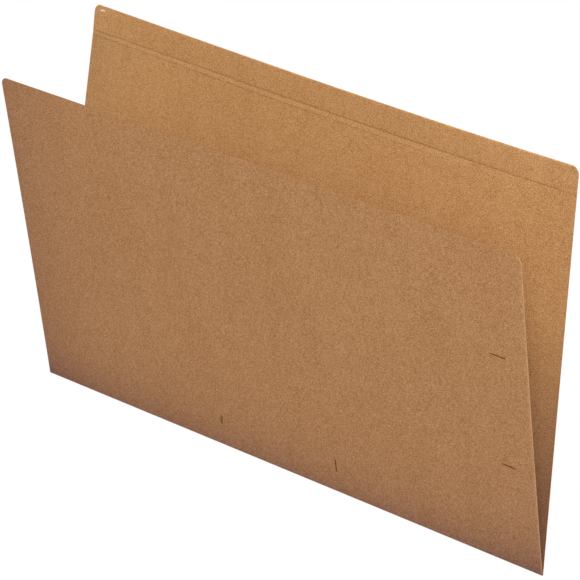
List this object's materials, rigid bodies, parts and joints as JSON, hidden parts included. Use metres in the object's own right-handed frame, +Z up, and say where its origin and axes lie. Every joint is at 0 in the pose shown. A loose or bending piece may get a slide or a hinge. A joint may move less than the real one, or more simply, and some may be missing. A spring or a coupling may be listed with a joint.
{
  "type": "file folder",
  "caption": "Kraft card file folder standing half open on its fold: lower front panel with fastener slits, taller back panel with a full-width glued tab.",
  "frame": {"origin": "middle of the flat underside of the bottom fold, on the surface that the folder stands on", "axes": "+X along the fold towards the end of the front panel that has the fastener slits, +Y from the front panel to the taller back panel, +Z up"},
  "size_m": [0.3746, 0.0958, 0.241],
  "materials": {
    "kraft_fold": "matt unbleached kraft card, rubbed along the crease",
    "kraft_front": "matt unbleached kraft card with cloudy mottling",
    "kraft_back": "matt unbleached kraft card with fine speckle",
    "kraft_tab": "matt unbleached kraft card with fine speckle",
    "dried_glue": "dried clear glue between two plies of card"
  },
  "bodies": {
    "fold": {"bottom_fold": "kraft_fold"},
    "front_leaf": {"front_flap": "kraft_front"},
    "back_leaf": {"back_flap": "kraft_back", "tab_top_fold": "kraft_back", "tab_inner_ply": "kraft_tab", "tab_glue_line": "dried_glue"}
  },
  "joints": [
    {"name": "front_hinge", "type": "hinge", "parent": "fold", "child": "front_leaf", "pos_m": [0, 0, 0.00058], "axis": [1, 0, 0], "range_deg": [-10.5, 79.3]},
    {"name": "back_hinge", "type": "hinge", "parent": "fold", "child": "back_leaf", "pos_m": [0, 0, 0.00058], "axis": [-1, 0, 0], "range_deg": [-2.6, 76.4]}
  ]
}
